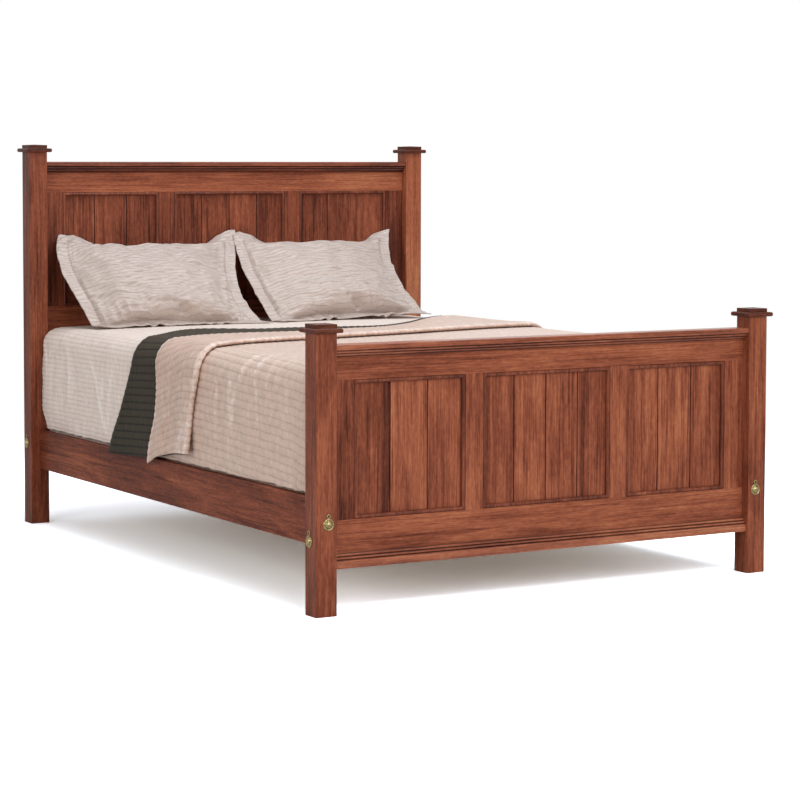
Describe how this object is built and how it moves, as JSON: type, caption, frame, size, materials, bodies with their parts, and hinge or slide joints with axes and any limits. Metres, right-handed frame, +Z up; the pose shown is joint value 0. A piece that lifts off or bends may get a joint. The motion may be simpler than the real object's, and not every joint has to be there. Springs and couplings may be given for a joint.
{
  "type": "panel bed",
  "caption": "Wooden bed with square posts, panelled headboard and footboard, swinging brass bolt covers, and a made-up mattress with blanket, quilt, folded throw and pillows.",
  "frame": {"origin": "on the floor under the middle of the bed", "axes": "+X to the right seen from the foot, +Y from the footboard to the headboard, +Z up"},
  "size_m": [1.703, 2.287, 1.399],
  "materials": {
    "post_wood": "satin stained, upright grain",
    "cap_wood": "satin stained",
    "rail_wood": "satin stained, grain along the rail",
    "moulding_wood": "satin stained",
    "plank_wood": "satin stained, upright grain",
    "support_wood": "sawn, unfinished",
    "steel": "zinc plated",
    "brass": "aged, soft shine",
    "dark_brass": "darkened",
    "ticking": "matt",
    "blanket_cotton": "soft satin, channel quilted",
    "quilt_cotton": "soft satin, channel quilted",
    "sham_cotton": "soft satin, channel quilted"
  },
  "bodies": {
    "bed": {"post_foot_left": "post_wood", "post_cap_foot_left": "cap_wood", "post_foot_right": "post_wood", "post_cap_foot_right": "cap_wood", "post_head_left": "post_wood", "post_cap_head_left": "cap_wood", "post_head_right": "post_wood", "post_cap_head_right": "cap_wood", "foot_top_rail": "rail_wood", "foot_bottom_rail": "rail_wood", "foot_base_moulding": "moulding_wood", "foot_cap_moulding": "moulding_wood", "head_top_rail": "rail_wood", "head_middle_rail": "rail_wood", "head_bottom_rail": "rail_wood", "head_cap_moulding": "moulding_wood", "foot_stile_left": "post_wood", "foot_stile_right": "post_wood", "foot_mullions": "post_wood", "foot_planks_left": "plank_wood", "foot_beads_left": "moulding_wood", "foot_planks_centre": "plank_wood", "foot_beads_centre": "moulding_wood", "foot_planks_right": "plank_wood", "foot_beads_right": "moulding_wood", "head_stile_left": "post_wood", "head_stile_right": "post_wood", "head_mullions": "post_wood", "head_planks_left": "plank_wood", "head_beads_left": "moulding_wood", "head_planks_centre": "plank_wood", "head_beads_centre": "moulding_wood", "head_planks_right": "plank_wood", "head_beads_right": "moulding_wood", "side_rail_left": "rail_wood", "side_rail_right": "rail_wood", "slat_cleats": "support_wood", "slats": "support_wood", "centre_beam": "support_wood", "centre_feet": "support_wood", "bed_bolts": "steel", "bolt_nuts": "steel", "wood_screws": "steel", "cover_nails": "dark_brass", "foundation": "ticking", "mattress": "ticking", "blanket": "blanket_cotton", "quilt": "quilt_cotton", "throw": "quilt_cotton", "pillow_left": "sham_cotton", "pillow_right": "sham_cotton"},
    "cover_foot_left_rail": {"cover_foot_left_rail": "brass"},
    "cover_foot_left_side": {"cover_foot_left_side": "brass"},
    "cover_head_left_rail": {"cover_head_left_rail": "brass"},
    "cover_head_left_side": {"cover_head_left_side": "brass"},
    "cover_foot_right_rail": {"cover_foot_right_rail": "brass"},
    "cover_foot_right_side": {"cover_foot_right_side": "brass"},
    "cover_head_right_rail": {"cover_head_right_rail": "brass"},
    "cover_head_right_side": {"cover_head_right_side": "brass"}
  },
  "joints": [
    {"name": "cover_foot_left_rail_swing", "type": "hinge", "parent": "bed", "child": "cover_foot_left_rail", "pos_m": [-0.797, -1.13, 0.29975], "axis": [0, -1, 0], "continuous": true},
    {"name": "cover_foot_left_side_swing", "type": "hinge", "parent": "bed", "child": "cover_foot_left_side", "pos_m": [-0.838, -1.086, 0.2475], "axis": [-1, 0, 0], "continuous": true},
    {"name": "cover_head_left_rail_swing", "type": "hinge", "parent": "bed", "child": "cover_head_left_rail", "pos_m": [-0.797, 1.13, 0.29975], "axis": [0, 1, 0], "continuous": true},
    {"name": "cover_head_left_side_swing", "type": "hinge", "parent": "bed", "child": "cover_head_left_side", "pos_m": [-0.838, 1.104, 0.321], "axis": [-1, 0, 0], "continuous": true},
    {"name": "cover_foot_right_rail_swing", "type": "hinge", "parent": "bed", "child": "cover_foot_right_rail", "pos_m": [0.797, -1.13, 0.29975], "axis": [0, -1, 0], "continuous": true},
    {"name": "cover_foot_right_side_swing", "type": "hinge", "parent": "bed", "child": "cover_foot_right_side", "pos_m": [0.838, -1.086, 0.2475], "axis": [1, 0, 0], "continuous": true},
    {"name": "cover_head_right_rail_swing", "type": "hinge", "parent": "bed", "child": "cover_head_right_rail", "pos_m": [0.797, 1.13, 0.29975], "axis": [0, 1, 0], "continuous": true},
    {"name": "cover_head_right_side_swing", "type": "hinge", "parent": "bed", "child": "cover_head_right_side", "pos_m": [0.838, 1.104, 0.321], "axis": [1, 0, 0], "continuous": true}
  ]
}
